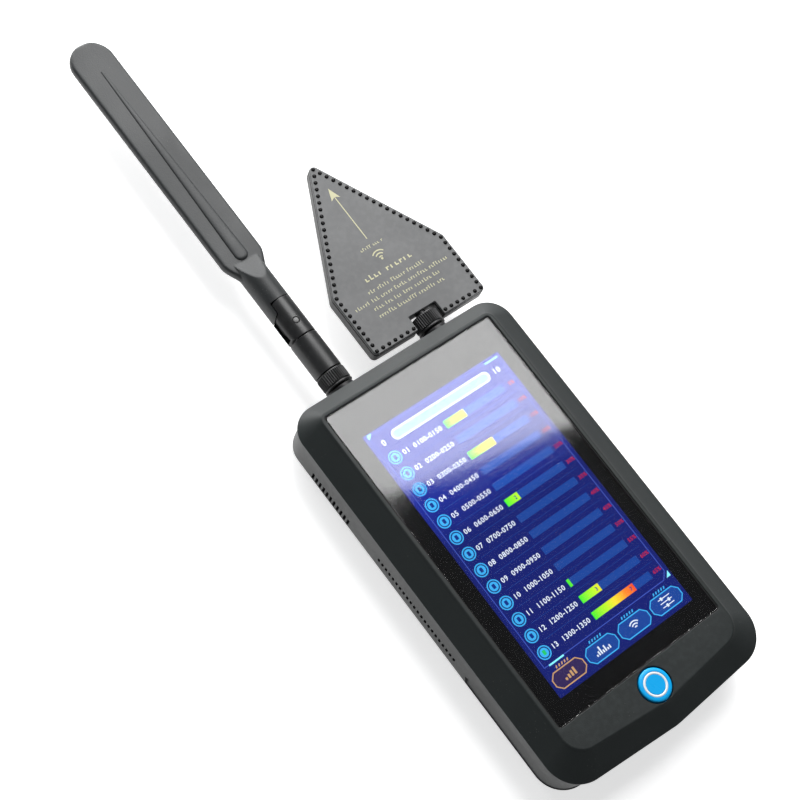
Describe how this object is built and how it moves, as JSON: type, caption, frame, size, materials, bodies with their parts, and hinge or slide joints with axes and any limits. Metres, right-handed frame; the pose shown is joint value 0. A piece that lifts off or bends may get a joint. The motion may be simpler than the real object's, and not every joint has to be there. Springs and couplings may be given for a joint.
{
  "type": "handheld spectrum analyzer",
  "caption": "Handheld radio spectrum analyzer: touch screen in a sloped plastic housing, push button below, folding paddle antenna and flat directional antenna on top",
  "frame": {"origin": "centre of the flat back face", "axes": "+X to the right of the screen, +Y towards the antennas, +Z out of the screen"},
  "size_m": [0.1048, 0.3528, 0.0257],
  "materials": {
    "housing_front": "fine textured charcoal",
    "housing_rear": "fine textured charcoal",
    "seal": "dull black",
    "screen_glass": "clear hard glass",
    "display": "lit display",
    "sheet_metal": "thin plated sheet",
    "circuit_board": "green solder mask",
    "contact_brass": "plated contacts",
    "cable_jacket": "thin coaxial jacket",
    "battery_foil": "pouch foil",
    "foam": "adhesive foam",
    "black_plastic": "moulded black",
    "mesh_cloth": "fine dust mesh",
    "black_screw": "black oxide",
    "button_blue": "glossy bright blue",
    "button_white": "white inlay",
    "white_plastic": "moulded white",
    "black_metal": "black plated brass",
    "antenna_joint": "satin black",
    "rivet_steel": "blackened steel",
    "antenna_blade": "soft matte black",
    "plate_tray": "dark grey moulded",
    "plate_face": "satin grey with fine print",
    "stud_black": "small black beads"
  },
  "bodies": {
    "case": {"front_housing": "housing_front", "rear_housing": "housing_rear", "housing_seal": "seal", "cover_glass": "screen_glass", "glass_gasket": "seal", "glass_adhesive": "seal", "display_panel": "display", "display_frame": "sheet_metal", "main_board": "circuit_board", "shield_can": "sheet_metal", "rf_sockets": "contact_brass", "rf_leads": "cable_jacket", "battery_pack": "battery_foil", "battery_pad": "foam", "speaker": "black_plastic", "vent_mesh": "mesh_cloth", "usb_socket": "sheet_metal", "case_screws": "black_screw", "board_screws": "sheet_metal", "button_switch": "black_plastic", "button_board": "circuit_board", "left_jack": "black_metal", "right_jack": "black_metal", "jack_nuts": "black_metal", "paddle_plug": "contact_brass", "paddle_sleeve": "antenna_joint"},
    "button": {"button_cap": "button_blue", "button_ring": "button_white", "switch_plunger": "white_plastic"},
    "paddle_coupling": {"paddle_nut": "black_metal"},
    "knuckle": {"paddle_knuckle": "antenna_joint", "paddle_rivet": "rivet_steel"},
    "blade": {"paddle_blade": "antenna_blade", "paddle_element": "circuit_board"},
    "plate": {"plate_plug": "contact_brass", "plate_lead": "cable_jacket", "plate_tray": "plate_tray", "plate_board": "seal", "plate_cover": "plate_face", "plate_studs": "stud_black"},
    "plate_coupling": {"plate_nut": "black_metal"}
  },
  "joints": [
    {"name": "button_press", "type": "slide", "parent": "case", "child": "button", "axis": [0, 0, -1], "range_m": [0, 0.0008], "stiffness_N_per_m": 1500},
    {"name": "paddle_nut_turn", "type": "hinge", "parent": "case", "child": "paddle_coupling", "pos_m": [-0.0235, 0.093, 0.0145], "axis": [0, 1, 0], "continuous": true},
    {"name": "paddle_swivel", "type": "hinge", "parent": "case", "child": "knuckle", "pos_m": [-0.0235, 0.1136, 0.0145], "axis": [0, 1, 0], "range_deg": [-90, 90]},
    {"name": "paddle_fold", "type": "hinge", "parent": "knuckle", "child": "blade", "pos_m": [-0.0235, 0.1199, 0.0145], "axis": [0, 0, 1], "range_deg": [0, 90]},
    {"name": "plate_swivel", "type": "hinge", "parent": "case", "child": "plate", "pos_m": [0.0235, 0.093, 0.0145], "axis": [0, 1, 0], "range_deg": [-90, 90]},
    {"name": "plate_nut_turn", "type": "hinge", "parent": "case", "child": "plate_coupling", "pos_m": [0.0235, 0.093, 0.0145], "axis": [0, 1, 0], "continuous": true}
  ]
}
